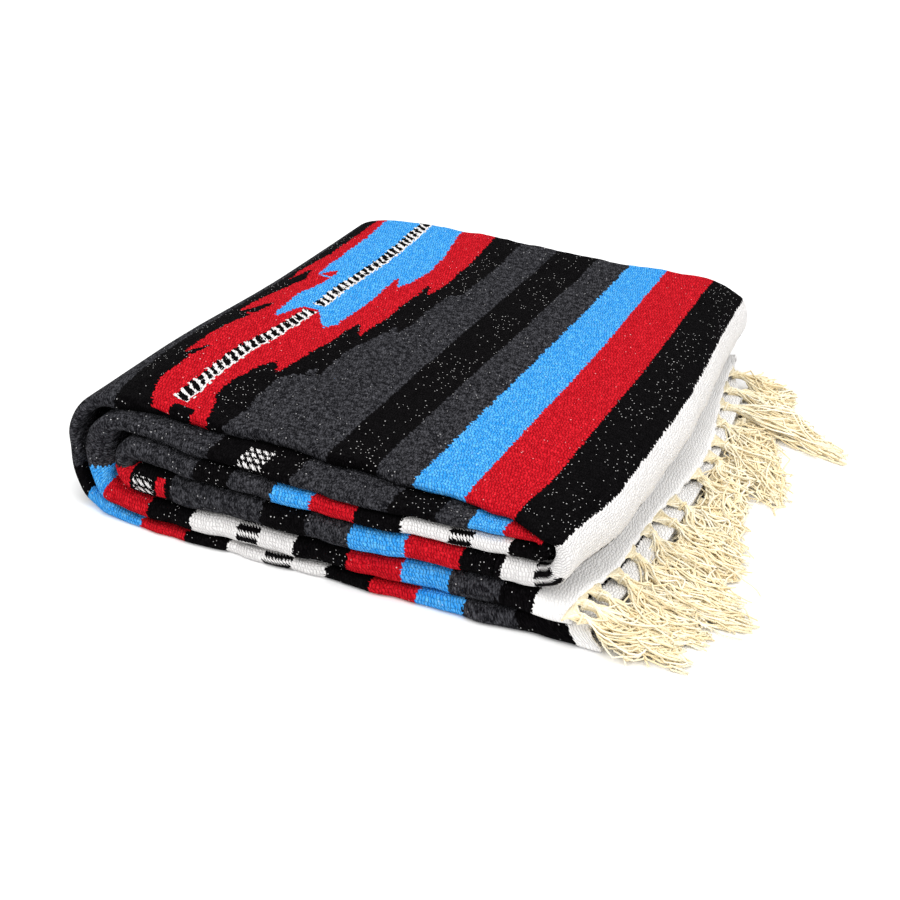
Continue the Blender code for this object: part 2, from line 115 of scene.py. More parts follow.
def along(name, x):
    stations, values = np.array(bundle["x"]), np.array(bundle[name])
    x = np.clip(np.asarray(x, float), stations[0], stations[-1])
    k = np.clip(np.searchsorted(stations, x, side="right") - 1, 0, len(stations) - 2)
    return blend(values[k], values[k + 1], smooth((x - stations[k]) / (stations[k + 1] - stations[k])))


# The front and back edge of a ply, and of a turn between two plies
def edgesOf(ply, x):
    return along(f"front{ply}", x), along(f"back{ply}", x)


def edgesBetween(before, after, x, t):
    return [blend(a, b, smooth(t)) for a, b in zip(edgesOf(before, x), edgesOf(after, x))]


# Brings all layers together to their rest: the corner, the left end, the sink at the back and the tapers
def settle(points):
    x, y, z = points.T.copy()

    def reach(row):
        return ramp(x, *row["x"]) * ramp(y, *row["y"]) * ramp(z, *row["z"])

    pull = reach(corner) * (1 - ramp(z, *corner["zEnd"]))
    points[:, 1] += corner["back"] * pull
    points[:, 2] += corner["lift"] * pull
    points[:, 2] *= 1 + leftRise["share"] * ramp(x, *leftRise["x"]) * ramp(y, *leftRise["y"])
    sink = bundle["backSink"] * ramp(points[:, 1], bundle["sinkFrom"], bundle["sinkTo"])
    points[:, 2] *= 1.0 - sink / bundle["top"][0]
    for taper in tapers:
        points[:, 0] -= taper["pull"] * reach(taper)
    return points


# A soft uneven wave, about 1 high, from sines whose lengths don't divide one another
def wander(place, pitch, phase):
    t = np.asarray(place, float) * 2.0 * math.pi / pitch
    second, third = 0.6 * np.sin(1.71 * t + 2.3 * phase), 0.4 * np.sin(2.93 * t + 4.1 * phase)
    return (np.sin(t + phase) + second + third) / 1.6


def turnPoints(angles, centreX, centreZ, reach, half, square):
    power = 2.0 / square
    c, s = np.cos(angles), np.sin(angles)
    x = centreX + np.sign(c) * np.abs(c) ** power * reach
    z = centreZ + np.sign(s) * np.abs(s) ** power * half
    return x, z


# Joins stretches of a route, each a dictionary of arrays, and reads them again at even steps
def evenLine(parts, step):
    keys = parts[0].keys()
    whole = {key: np.concatenate([part[key] for part in parts]) for key in keys}
    run = np.concatenate([[0.0], np.cumsum(np.hypot(np.diff(whole["x"]), np.diff(whole["z"])))])
    count = int(round(run[-1] / step))
    places = np.linspace(0.0, run[-1], count + 1)
    line = {key: np.interp(places, run, whole[key]) for key in keys}
    line["u"] = places
    tangentX, tangentZ = np.gradient(line["x"]), np.gradient(line["z"])
    for _ in range(2):  # eases the corners where stretches meet
        tangentX[1:-1] = (tangentX[:-2] + 2 * tangentX[1:-1] + tangentX[2:]) / 4
        tangentZ[1:-1] = (tangentZ[:-2] + 2 * tangentZ[1:-1] + tangentZ[2:]) / 4
    size = np.hypot(tangentX, tangentZ)
    line["inX"], line["inZ"] = tangentZ / size, -tangentX / size
    return line


# How far along a route a place is, by its X or Z on one of the numbered stretches
def placeOn(line, stretch, place, axis="x"):
    chosen = np.rint(line["stretch"]) == stretch
    places, us = line[axis][chosen], line["u"][chosen]
    order = np.argsort(places)
    return float(np.interp(place, places[order], us[order]))


def readPoints(piece):
    flat = np.zeros(len(piece.data.vertices) * 3)
    piece.data.vertices.foreach_get("co", flat)
    return flat.reshape(-1, 3)


# Sets the piece's points, and its UV map from one row for each point
def shape(piece, points, uv):
    mesh = piece.data
    mesh.vertices.foreach_set("co", points.astype(np.float32).ravel())
    owner = np.zeros(len(mesh.loops), int)
    mesh.loops.foreach_get("vertex_index", owner)
    layer = mesh.uv_layers[0]
    layer.name = "weave"
    layer.data.foreach_set("uv", uv[owner].astype(np.float32).ravel())
    mesh.update()


# A grid primitive, with the number of each point along and across it
def newGrid(name, steps, columns):
    bpy.ops.object.select_all(action="DESELECT")
    bpy.ops.mesh.primitive_grid_add(x_subdivisions=steps, y_subdivisions=columns, size=2.0)
    sheet = bpy.context.active_object
    sheet.name = sheet.data.name = name
    flat = readPoints(sheet)
    i = np.rint((flat[:, 0] + 1) / 2 * steps).astype(int)
    j = np.rint((flat[:, 1] + 1) / 2 * columns).astype(int)
    return sheet, i, j


# A sheet from grids of its points and of its own places in metres of cloth
def laySheet(name, x, y, z, u, v):
    sheet, i, j = newGrid(name, x.shape[0] - 1, x.shape[1] - 1)
    points = np.column_stack([x[i, j], y[i, j], z[i, j]])
    shape(sheet, settle(points), np.column_stack([u[i, j], v[i, j]]))
    return sheet


def thicken(sheet, thickness):
    bpy.ops.object.select_all(action="DESELECT")
    sheet.select_set(True)
    bpy.context.view_layer.objects.active = sheet
    wall = sheet.modifiers.new("wall", "SOLIDIFY")
    wall.thickness = thickness
    wall.offset = -1.0
    bpy.ops.object.modifier_apply(modifier="wall")
    bpy.ops.object.shade_smooth()


# The outer wrap: floor, left turn, top and the roll at the right, as one folded sheet
wrap = {
    "cloth": 0.0026,
    "step": 0.0031,
    "leftTurnX": -0.146, "leftReach": 0.0407, "leftSquare": 3.1,
    "rightTurnX": 0.129, "rightReach": 0.0215, "rightSquare": 2.1,
    "tuckX": 0.1044, "bottomEndX": 0.164, "leftFold": 0.0082,
    "backDraw": 0.0220, "backDrawX": (0.115, 0.164), "backDrawY": (0.115, 0.185),  # at the floor end
    "lipSteps": 10, "middleSteps": 118,
    "tail": 0.012, "tailLow": 0.0002, "tailSteps": 6,
    "endTail": 0.176, "endTailX": (0.060, 0.100),  # at the floor end the cloth is folded double all the way
    "noseWave": 0.0011, "nosePitch": (0.061, 0.074, 0.083),  # of the front, the back and the lips
    "topFrom": (-0.185, -0.150), "topTo": (0.128, 0.146),  # where the top's creases come in and end
    "topWave": 0.0007, "topPitch": (0.067, 0.093),
    "weftWave": 0.00028, "weftPitch": (0.0126, 0.041),
}

# Soft creases on the top: where each starts and ends, its width and its height (a trough is below 0)
topCreases = (
    ((-0.150, -0.120), (-0.135, 0.180), 0.0100, 0.0012),
    ((-0.080, -0.135), (-0.060, 0.060), 0.0120, -0.0011),
    ((-0.030, 0.010), (-0.045, 0.190), 0.0150, 0.0010),
    ((0.012, -0.140), (0.022, 0.020), 0.0110, 0.0009),
    ((0.046, -0.100), (0.040, 0.150), 0.0090, -0.0010),
    ((0.088, -0.145), (0.094, -0.020), 0.0120, 0.0011),
    ((0.072, 0.040), (0.080, 0.190), 0.0130, -0.0008),
    ((-0.120, -0.128), (0.010, -0.122), 0.0085, -0.0009),
    ((0.030, -0.130), (0.120, -0.142), 0.0075, 0.0008),
    ((-0.100, 0.150), (0.060, 0.158), 0.0140, -0.0011),
    ((0.112, -0.060), (0.118, 0.120), 0.0085, 0.0009),
)


def creaseLift(creases, x, y):
    lift = np.zeros_like(x)
    for start, end, wide, high in creases:
        run = np.subtract(end, start)
        t = ((x - start[0]) * run[0] + (y - start[1]) * run[1]) / (run @ run)
        aside = ((x - start[0]) * run[1] - (y - start[1]) * run[0]) / math.hypot(*run)
        ends = ramp(t, -0.12, 0.15) * (1.0 - ramp(t, 0.85, 1.12))
        lift += high * np.exp(-((aside / wide) ** 2)) * ends
    return lift


def wrapLine():
    def stretch(number, x, z, edges, depth):
        return {"x": x, "z": z, "front": edges[0], "back": edges[1], "depth": depth,
                "stretch": np.full(len(x), number)}

    leftX, rightX, tuckX = wrap["leftTurnX"], wrap["rightTurnX"], wrap["tuckX"]
    t = np.linspace(0, 1, 600)[1:]
    x = np.linspace(wrap["bottomEndX"], leftX, 400)
    parts = [stretch(6, x, 0 * x, edgesOf(6, x), along("between56", x))]
    half = float(along("top", leftX)) / 2
    x, z = turnPoints(np.radians(-90 - 180 * t), leftX, half, wrap["leftReach"], half, wrap["leftSquare"])
    parts.append(stretch(7, x, z, edgesBetween(6, 1, x, t), 0 * x + wrap["leftFold"]))
    x = np.linspace(leftX, rightX, 400)[1:]
    z = along("top", x)
    depth = blend(wrap["leftFold"], z - along("between12", x), ramp(x, leftX, leftX + 0.03))
    parts.append(stretch(1, x, z, edgesOf(1, x), depth))
    top, low = float(along("top", rightX)), float(along("between45", rightX))
    tuckDepth = float(along("between34", tuckX) - along("between45", tuckX))
    x, z = turnPoints(np.radians(90 - 180 * t), rightX, (top + low) / 2, wrap["rightReach"],
                      (top - low) / 2, wrap["rightSquare"])
    parts.append(stretch(8, x, z, edgesBetween(1, 4, x, t), blend(float(depth[-1]), tuckDepth, smooth(t))))
    x = np.linspace(rightX, tuckX, 60)[1:]
    parts.append(stretch(4, x, along("between45", x), edgesOf(4, x), 0 * x + tuckDepth))
    line = evenLine(parts, wrap["step"])
    line["u"] = line["u"] - placeOn(line, 1, 0.0)
    return line


# The points across a fold: for each, how far across, how deep below the outer face, and the cloth's own V.
# The cloth comes round each lip and goes back inside by the line's tail
def acrossFold(line, middleSteps, noseWave, phase):
    pitches = wrap["nosePitch"]
    front = line["front"] + noseWave * wander(line["u"], pitches[0], phase)
    back = line["back"] + 1.4 * noseWave * wander(line["u"], pitches[1], phase + 1.9)
    radius = line["depth"] / 2 * (1 + 0.07 * wander(line["u"], pitches[2], phase + 0.7))
    inside = line["depth"] - wrap["tailLow"] * smooth(line["tail"] / wrap["tail"])
    columns = []
    for k in range(wrap["tailSteps"]):
        t = line["tail"] * (1 - k / wrap["tailSteps"])
        columns.append((front + radius + t, inside, front + radius - math.pi * radius - t))
    for k in range(wrap["lipSteps"]):
        a = math.pi * (1 - k / wrap["lipSteps"])
        y = front + radius
        columns.append((y - radius * math.sin(a), radius * (1 - math.cos(a)), y - radius * a))
    for k in range(middleSteps + 1):
        y = blend(front + radius, back - radius, k / middleSteps)
        columns.append((y, 0 * y, y))
    for k in range(1, wrap["lipSteps"] + 1):
        a = math.pi * k / wrap["lipSteps"]
        y = back - radius
        columns.append((y + radius * math.sin(a), radius * (1 - math.cos(a)), y + radius * a))
    for k in range(1, wrap["tailSteps"] + 1):
        t = line["tail"] * k / wrap["tailSteps"]
        columns.append((back - radius - t, inside, back - radius + math.pi * radius + t))
    return [np.array([column[n] for column in columns]).T for n in range(3)]


def makeOuterWrap(line):
    floorPly = np.rint(line["stretch"]) == 6
    toEnd = ramp(line["x"], *wrap["endTailX"]) * floorPly
    line["tail"] = wrap["tail"] + (wrap["endTail"] - wrap["tail"]) * toEnd
    across, deep, v = acrossFold(line, wrap["middleSteps"], wrap["noseWave"], 0.4)
    u = np.repeat(line["u"][:, None], across.shape[1], axis=1)
    upper = ramp(u, *wrap["topFrom"])
    onOuterFace = deep < 0.001
    lift = creaseLift(topCreases, u, v) * upper * (1 - ramp(u, *wrap["topTo"])) * onOuterFace
    long, short = wrap["topPitch"][::-1]
    lift += wrap["topWave"] * upper * wander(u + 0.35 * v, short, 1.1) * wander(v - 0.2 * u, long, 0.3)
    alongU, alongV = wrap["weftPitch"]
    lift += wrap["weftWave"] * upper * wander(u, alongU, 2.0) * wander(v, alongV, 1.0)
    deep = deep - lift
    x = line["x"][:, None] + line["inX"][:, None] * deep
    z = line["z"][:, None] + line["inZ"][:, None] * deep
    floorEnd = ramp(x, *wrap["backDrawX"]) * floorPly[:, None]
    x = x - wrap["backDraw"] * floorEnd * ramp(across, *wrap["backDrawY"])
    sheet = laySheet("outerWrap", x, across, z, u, v)
    thicken(sheet, wrap["cloth"])
    return sheet


wrapRoute = wrapLine()
outerWrap = makeOuterWrap(wrapRoute)
print("outer wrap folded:", len(outerWrap.data.polygons), "faces")

# The strip inside: ply 4, left turn, ply 3, small turn at the right, ply 2, wider left turn, ply 5
inner = {
    "cloth": 0.0020,
    "step": 0.0031,
    "gap": 0.0004,
    "startX": 0.1038, "endX": 0.1120,
    "smallTurnX": -0.1350, "smallTurnReach": 0.0066,
    "wideTurnX": -0.1440, "wideTurnReach": 0.0190, "wideSquare": 2.4,
    "wideSwell": 0.0064, "smallSwell": 0.0010,
    "rightTurnX": 0.1270, "rightTurnReach": 0.0062,
    "lobeDeep": 0.0075, "lobeSteps": 14, "flatSteps": 13,
    "noseWave": 0.0012, "nosePitch": (0.057, 0.071),
}


def plyMiddle(upper, lower, x):
    return (along(upper, x) + along(lower, x)) / 2, (along(upper, x) - along(lower, x)) / 2 - inner["gap"]


def innerLine():
    plies = {4: ("between34", "between45"), 3: ("between23", "between34"), 2: ("between12", "between23"),
             5: ("between45", "between56")}

    def stretch(number, x, z, half, edges):
        return {"x": x, "z": z, "half": half, "front": edges[0], "back": edges[1],
                "stretch": np.full(len(x), number)}

    def straight(ply, startX, endX):
        x = np.linspace(startX, endX, 300)
        return stretch(ply, x, *plyMiddle(*plies[ply], x), edgesOf(ply, x))

    def turn(before, after, middleX, reach, square, sweep, swell):
        t = np.linspace(0, 1, 200)[1:-1]
        zBefore, halfBefore = plyMiddle(*plies[before], middleX)
        zAfter, halfAfter = plyMiddle(*plies[after], middleX)
        x, z = turnPoints(np.radians(-90 + sweep * t), middleX, (zAfter + zBefore) / 2, reach,
                          (zAfter - zBefore) / 2, square)
        half = blend(halfBefore, halfAfter, smooth(t)) + swell * np.sin(math.pi * t) ** 2
        return stretch(10 * before + after, x, z, half, edgesBetween(before, after, middleX, t))

    line = evenLine([
        straight(4, inner["startX"], inner["smallTurnX"]),
        turn(4, 3, inner["smallTurnX"], inner["smallTurnReach"], 2.0, -180, inner["smallSwell"]),
        straight(3, inner["smallTurnX"], inner["rightTurnX"]),
        turn(3, 2, inner["rightTurnX"], inner["rightTurnReach"], 2.0, 180, 0.0),
        straight(2, inner["rightTurnX"], inner["wideTurnX"]),
        turn(2, 5, inner["wideTurnX"], inner["wideTurnReach"], inner["wideSquare"], -180,
             inner["wideSwell"]),
        straight(5, inner["wideTurnX"], inner["endX"]),
    ], inner["step"])
    return line


def makeInnerStrip(line):
    lobe, flat = inner["lobeSteps"], inner["flatSteps"]
    front = line["front"] + inner["noseWave"] * wander(line["u"], inner["nosePitch"][0], 2.2)
    back = line["back"] + inner["noseWave"] * wander(line["u"], inner["nosePitch"][1], 0.9)
    half = line["half"]
    deep = np.minimum(inner["lobeDeep"], 1.15 * half)
    columns = []

    def addLobe(edge, side, angles):
        for a in angles:
            y = edge + side * (deep - deep * math.cos(a))
            columns.append((y, half * math.sin(a)))

    quarter = math.pi / 2
    addLobe(back, -1, np.linspace(0, quarter, lobe // 2 + 1)[:-1])
    for k in range(flat):
        columns.append((blend(back - deep, front + deep, k / flat), half))
    addLobe(front, 1, np.linspace(quarter, -quarter, lobe + 1)[:-1])
    for k in range(flat):
        columns.append((blend(front + deep, back - deep, k / flat), -half))
    addLobe(back, -1, np.linspace(-quarter, 0, lobe // 2 + 1))
    across = np.array([column[0] for column in columns]).T
    away = np.array([column[1] for column in columns]).T
    around = np.hypot(np.diff(across, axis=1), np.diff(away, axis=1))
    v = np.concatenate([np.zeros((len(front), 1)), np.cumsum(around, axis=1)], axis=1)
    nose = lobe // 2 + flat + lobe // 2
    v = v[:, nose:nose + 1] - v
    u = np.repeat(line["u"][:, None], across.shape[1], axis=1)
    x = line["x"][:, None] - line["inX"][:, None] * away
    z = line["z"][:, None] - line["inZ"][:, None] * away
    sheet = laySheet("innerStrip", x, across, z, u, v)
    bpy.ops.object.mode_set(mode="EDIT")
    bpy.ops.mesh.select_all(action="SELECT")
    bpy.ops.mesh.remove_doubles(threshold=0.00001)
    bpy.ops.mesh.normals_make_consistent(inside=False)
    bpy.ops.object.mode_set(mode="OBJECT")
    thicken(sheet, inner["cloth"])
    return sheet


innerRoute = innerLine()
innerStrip = makeInnerStrip(innerRoute)
print("inner strip folded:", len(innerStrip.data.polygons), "faces")

# The end band: the white end of ply 5, from under the roll to the edge with the fringe
band = {
    "cloth": 0.0026,
    "startX": 0.1055, "edgeX": 0.149, "bow": 0.009, "bowY": 0.035, "bowWide": 0.065,
    "top": 0.0197, "edgeTop": 0.0168, "droop": 0.0044, "droopX": 0.124,
    "backDraw": 0.016, "backDrawY": (0.150, 0.188), "frontDraw": -0.0040, "frontDrawY": (-0.160, -0.060),
    "middleY": 0.008, "halfLong": 0.170, "stepsAcross": 124, "steps": 18,
    "wave": 0.0008, "wavePitch": 0.052, "edgeWave": 0.0007, "edgePitch": 0.019,
}


def bandEdge(y):
    bow = band["bow"] * np.exp(-(((y - band["bowY"]) / band["bowWide"]) ** 2))
    backDrawn = band["backDraw"] * ramp(y, *band["backDrawY"])
    frontDrawn = band["frontDraw"] * (1 - ramp(y, *band["frontDrawY"]))
    return band["edgeX"] + bow - backDrawn - frontDrawn


def bandTop(share, x, y):
    level = blend(band["top"], band["edgeTop"], smooth(share))
    aside = np.minimum(1.0, np.abs(y - band["middleY"]) / band["halfLong"])
    fall = band["droop"] * ramp(x, band["droopX"], band["edgeX"]) * (1.0 - aside ** 4)
    return level - fall


def makeEndBand():
    share = np.linspace(0, 1, band["steps"] + 1)
    middleX = blend(band["startX"], band["edgeX"], share)
    depth = blend(band["top"], band["edgeTop"], smooth(share)) - along("between56", middleX) - 0.0003
    front, back = edgesOf(5, middleX)
    line = {"front": front, "back": back, "depth": depth, "u": middleX, "tail": 0 * middleX + wrap["tail"]}
    across, deep, v = acrossFold(line, band["stepsAcross"], band["edgeWave"], 3.0)
    share = np.repeat(share[:, None], across.shape[1], axis=1)
    x = blend(band["startX"], bandEdge(across), share)
    x += band["edgeWave"] * share * wander(across, band["edgePitch"], 1.4)
    lift = band["wave"] * ramp(share, 0.3, 1.0) * wander(across, band["wavePitch"], 0.8)
    z = bandTop(share, x, across) - deep + lift * (deep < 0.004)
    sheet = laySheet("endBand", x, across, z, x, v)
    thicken(sheet, band["cloth"])
    return sheet


endBand = makeEndBand()
print("end band laid:", len(endBand.data.polygons), "faces")

# The fringe: thin yarns in bunches, each tied in a knot at the cloth's edge and then lying loose
fringe = {
    "yarnWide": 0.00125,
    "levels": 16,
    "knotRadius": 0.0022,
    "knotOut": 0.0046,
    "rootHalf": 0.0090,  # how far along the edge a bunch's yarns leave the cloth, either way
    "wrapTurns": 1.15,
    "wrapYarns": 3,
    "strayShare": 0.14,
    "curlShare": 0.55,
    "loopShare": 0.34,  # yarns that curl over the rest in wide loops
    "fan": (0.62, 1.15),  # of a calm yarn and of a stray one, as is the wave
    "waveHigh": (0.0030, 0.0040),
    "curlHigh": 0.0034, "calmCurl": 0.0005,
    "loopHigh": 0.0062, "loopLong": 0.82, "loopLift": 0.0022,
    "pile": 0.0034,
    "wrapPitch": 0.00085,
}
# The upper bunches: where on the edge each starts, its middle, its tip and how far it spreads
upperBunches = (
    (-0.172, (0.170, -0.164), (0.194, -0.150), 0.006),
    (-0.161, (0.180, -0.156), (0.205, -0.142), 0.008),
    (-0.148, (0.180, -0.148), (0.209, -0.166), 0.006),
    (-0.123, (0.180, -0.133), (0.214, -0.142), 0.012),
    (-0.098, (0.182, -0.112), (0.231, -0.121), 0.011),
    (-0.068, (0.180, -0.092), (0.217, -0.104), 0.010),
    (-0.050, (0.188, -0.058), (0.210, -0.080), 0.012),
    (-0.023, (0.180, -0.034), (0.211, -0.068), 0.012),
    (0.003, (0.188, -0.006), (0.195, -0.046), 0.011),
    (0.032, (0.178, 0.014), (0.190, -0.018), 0.011),
    (0.056, (0.190, 0.048), (0.212, 0.010), 0.012),
    (0.082, (0.178, 0.070), (0.198, 0.034), 0.010),
    (0.106, (0.184, 0.108), (0.2345, 0.0835), 0.010),
    (0.132, (0.174, 0.134), (0.212, 0.094), 0.008),
    (0.151, (0.166, 0.154), (0.184, 0.124), 0.008),
)
lowerBunches = tuple(
    (root, (0.172, root + 0.002), (tipX, root - 0.001), 0.010)
    for root, tipX in ((-0.159, 0.186), (-0.145, 0.190), (-0.126, 0.186), (-0.108, 0.185), (-0.089, 0.189),
                       (-0.070, 0.190), (-0.051, 0.187), (-0.033, 0.190), (-0.014, 0.189), (0.005, 0.186),
                       (0.024, 0.188), (0.042, 0.190), (0.061, 0.187), (0.080, 0.188), (0.099, 0.189),
                       (0.117, 0.186), (0.134, 0.185), (0.149, 0.182))
)


# One straight yarn of four sides: a short cylinder, drawn out by its end face a level at a time
def modelYarn(name):
    levelLong = 0.006
    bpy.ops.object.select_all(action="DESELECT")
    bpy.ops.mesh.primitive_cylinder_add(vertices=4, radius=fringe["yarnWide"] / 2, depth=levelLong,
                                        location=(0, 0, levelLong / 2))
    yarn = bpy.context.active_object
    yarn.name = name
    bpy.ops.object.transform_apply(location=True)
    bpy.ops.object.mode_set(mode="EDIT")
    bpy.ops.mesh.select_mode(type="FACE")
    bpy.ops.mesh.select_all(action="DESELECT")
    bpy.ops.object.mode_set(mode="OBJECT")
    for face in yarn.data.polygons:
        face.select = face.normal.z > 0.9
    bpy.ops.object.mode_set(mode="EDIT")
    for _ in range(fringe["levels"] - 2):
        bpy.ops.mesh.extrude_region_move(TRANSFORM_OT_translate={"value": (0, 0, levelLong)})
    bpy.ops.object.mode_set(mode="OBJECT")
    bpy.ops.object.shade_smooth()
    flat = readPoints(yarn)
    return yarn, flat[:, :2].copy(), np.rint(flat[:, 2] / levelLong).astype(int)


# A copy of the yarn, bent along its route; its UV map holds how far along it is, and its own shade
def layYarn(pattern, route, wide, shade, home):
    yarn, section, level = pattern
    copy = yarn.copy()
    copy.data = yarn.data.copy()
    home.objects.link(copy)
    ahead = np.gradient(route, axis=0)
    ahead /= np.linalg.norm(ahead, axis=1)[:, None] + 1e-9
    side = np.cross(ahead, (0.0, 0.0, 1.0))
    side /= np.linalg.norm(side, axis=1)[:, None] + 1e-9
    up = np.cross(side, ahead)
    points = route[level] + wide * (section[:, :1] * side[level] + section[:, 1:] * up[level])
    run = np.concatenate([[0.0], np.cumsum(np.linalg.norm(np.diff(route, axis=0), axis=1))])
    shape(copy, points, np.column_stack([run[level], np.full(len(level), shade)]))
    return copy


def bunchYarns(pattern, bunch, edge, rest, count, chance, home):
    levels, made = fringe["levels"], []
    root, middle, tip, spread = bunch
    rootY = root + 0.003 * chance.normal()
    rootX, rootZ = edge(rootY)
    thick = fringe["knotRadius"] * (0.85 + 0.35 * chance.random())
    out = fringe["knotOut"] * (0.7 + 1.6 * chance.random() ** 2)
    wrapYarns = int(round(fringe["wrapYarns"] * chance.random() ** 0.5))
    knot = np.array([rootX + out, rootY - 0.001, max(rootZ - 0.0030, thick + 0.0010)])
    middle, tip = np.array(middle), np.array(tip)
    heading = math.atan2(middle[1] - knot[1], middle[0] - knot[0])
    aside = np.array([-math.sin(heading), math.cos(heading)])
    for _ in range(count):
        startY = rootY + (2 * chance.random() - 1) * fringe["rootHalf"]
        startX, startZ = edge(startY)
        angle, reach = chance.random() * 2 * math.pi, math.sqrt(chance.random())
        long = 1.0 - 0.30 * chance.random() ** 1.5
        stray, curly = chance.random() < fringe["strayShare"], chance.random() < fringe["curlShare"]
        fan = np.clip(chance.normal(), -1.9, 1.9) * fringe["fan"][stray]
        waveHigh = fringe["waveHigh"][stray] * (0.5 + chance.random())
        waveLong, wavePhase = 0.9 + 1.3 * chance.random(), chance.random() * 2 * math.pi
        curlHigh = fringe["curlHigh"] * (0.4 + chance.random()) if curly else fringe["calmCurl"]
        curlLong, curlPhase = 2.4 + 1.8 * chance.random(), chance.random() * 2 * math.pi
        pile = min(abs(chance.normal()), 2.2) * fringe["pile"] + 0.0005
        if chance.random() < fringe["loopShare"]:
            curlHigh = fringe["loopHigh"] * (0.6 + 0.7 * chance.random())
            curlLong, long = 1.2 + 1.1 * chance.random(), fringe["loopLong"]
            pile += fringe["loopLift"]
        route = np.zeros((levels, 3))
        for k in range(levels):
            if k == 0:
                route[k] = (startX - 0.0014, startY, startZ - 0.0016)
                continue
            if k == 1:
                route[k] = (startX + 0.0012, blend(startY, knot[1], 0.30), blend(startZ, knot[2], 0.15))
                continue
            s = (k - 2) / (levels - 3) * long
            line = (1 - s) ** 2 * knot[:2] + 2 * s * (1 - s) * middle + s * s * tip
            loose = float(ramp(s, 0.05, 0.5))
            knotHold = 1.0 - float(ramp(s, 0.0, 0.20))
            across = fan * spread * float(ramp(s, 0.0, 0.45)) * (1.0 - 0.45 * float(ramp(s, 0.6, 1.05)))
            across += waveHigh * loose * math.sin(2 * math.pi * waveLong * s + wavePhase)
            across += math.cos(angle) * reach * thick * knotHold
            curl = curlHigh * loose * np.array([math.cos(2 * math.pi * curlLong * s + curlPhase),
                                                math.sin(2 * math.pi * curlLong * s + curlPhase)])
            low = rest(line[0])
            crest = pile * (1.0 - 0.72 * float(ramp(s, 0.35, 1.0)))
            z = knot[2] + math.sin(angle) * reach * thick * knotHold
            z = blend(z, low + crest, float(ramp(s, 0.04, 0.42)))
            z += 0.0011 * math.sin(2 * math.pi * (waveLong + 0.4) * s + 2 * wavePhase) * (1 - s)
            route[k] = (*(line + aside * across + curl), max(z, low))
        made.append(layYarn(pattern, route, 1.0, chance.random(), home))
    for n in range(wrapYarns):  # the turns that tie the knot
        turn = np.linspace(0, 2 * math.pi * fringe["wrapTurns"], levels) + n * 1.3
        radius = thick + 0.0005 + 0.0003 * (n % 2)
        shift = (n - (wrapYarns - 1) / 2) * fringe["wrapPitch"]
        lean = shift + 0.0012 * np.sin(turn)
        route = np.column_stack([
            knot[0] + math.cos(heading) * lean - math.sin(heading) * radius * np.cos(turn),
            knot[1] + math.sin(heading) * lean + math.cos(heading) * radius * np.cos(turn),
            np.maximum(knot[2] + radius * np.sin(turn), 0.0008),
        ])
        made.append(layYarn(pattern, route, 1.15, chance.random(), home))
    return made


def makeFringe(name, bunches, edge, rest, count, seed):
    pattern = modelYarn(name + "Pattern")
    home = bpy.context.scene.collection
    chance = np.random.default_rng(seed)
    made = []
    for bunch in bunches:
        made += bunchYarns(pattern, bunch, edge, rest, count, chance, home)
    bpy.data.objects.remove(pattern[0])
    bpy.ops.object.select_all(action="DESELECT")
    for yarn in made:
        yarn.select_set(True)
    bpy.context.view_layer.objects.active = made[0]
    bpy.ops.object.join()
    joined = bpy.context.active_object
    joined.name = joined.data.name = name
    return joined


def upperEdge(y):
    x = float(bandEdge(y))
    point = settle(np.array([[x, y, float(bandTop(1.0, x, y))]]))[0]
    return point[0], point[2]


def lowerEdge(y):
    point = settle(np.array([[wrap["bottomEndX"], y, 0.0030]]))[0]
    return point[0], point[2]


def upperRest(x):
    return float(blend(0.0036, fringe["yarnWide"] / 2 + 0.0002, ramp(x, 0.178, 0.200)))


def lowerRest(x):
    return fringe["yarnWide"] / 2 + 0.0002


upperFringe = makeFringe("upperFringe", upperBunches, upperEdge, upperRest, 90, 11)
print("upper fringe tied:", len(upperFringe.data.polygons), "faces")
lowerFringe = makeFringe("lowerFringe", lowerBunches, lowerEdge, lowerRest, 40, 23)
print("lower fringe tied:", len(lowerFringe.data.polygons), "faces")

# Yarns: each has its number in the chart, its painted shade between stitches (how light it stays there), its
# share of flecks, its colour and its lighter fibres
yarns = {
    "black": {"number": 0, "pit": 0.50, "fleck": 1.0,
              "main": (0.0012, 0.0009, 0.0012), "light": (0.0046, 0.0040, 0.0046)},
    "charcoal": {"number": 1, "pit": 0.50, "fleck": 0.30,
                 "main": (0.0065, 0.0065, 0.0082), "light": (0.073, 0.073, 0.082)},
    "white": {"number": 2, "pit": 0.82, "fleck": 0.0,
              "main": (0.745, 0.725, 0.715), "light": (0.83, 0.815, 0.805)},
    "blue": {"number": 3, "pit": 0.46, "fleck": 0.15,
             "main": (0.022, 0.272, 0.76), "light": (0.124, 0.490, 0.93)},
    "red": {"number": 4, "pit": 0.46, "fleck": 0.12,
            "main": (0.415, 0.0037, 0.0100), "light": (0.71, 0.0155, 0.027)},
    "check": {"number": 5, "pit": 0.60, "fleck": 0.0,
              "main": (0.0012, 0.0009, 0.0012), "light": (0.0060, 0.0052, 0.0060)},
    "ticks": {"number": 6, "pit": 0.60, "fleck": 0.0,
              "main": (0.0012, 0.0009, 0.0012), "light": (0.0060, 0.0052, 0.0060)},
    # A brighter copy of the white yarn: painted light that lifts the end band and the floor end, which lie
    # in shade under the roll
    "litWhite": {"number": 7, "pit": 0.88, "fleck": 0.0,
                 "main": (0.88, 0.862, 0.845), "light": (0.93, 0.92, 0.91)},
}
chartScale = 10.0

